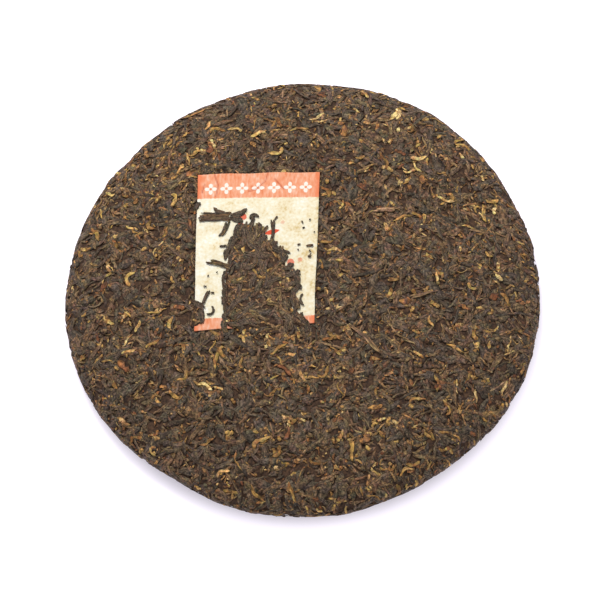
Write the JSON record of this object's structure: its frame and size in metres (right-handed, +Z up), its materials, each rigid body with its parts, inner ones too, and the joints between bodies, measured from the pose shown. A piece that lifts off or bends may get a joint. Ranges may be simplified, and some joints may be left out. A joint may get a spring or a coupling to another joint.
{
  "type": "pu erh tea cake",
  "caption": "Round pressed cake of dark tea leaves with a domed top, a rounded rim, a hollow underside and a paper ticket bedded in its top.",
  "frame": {"origin": "centre of the underside, on the surface that the cake rests on", "axes": "+Z up through the crown, +Y along the ticket's long edges towards its header band, +X to the ticket's right"},
  "size_m": [0.2006, 0.2006, 0.0251],
  "materials": {
    "pressed_dark_tea": "matt, dry pressed leaves with golden tips",
    "ticket_paper": "matt, thin uncoated paper with printed bands"
  },
  "bodies": {
    "root": {"tea_cake": "pressed_dark_tea", "ticket": "ticket_paper"}
  },
  "joints": []
}
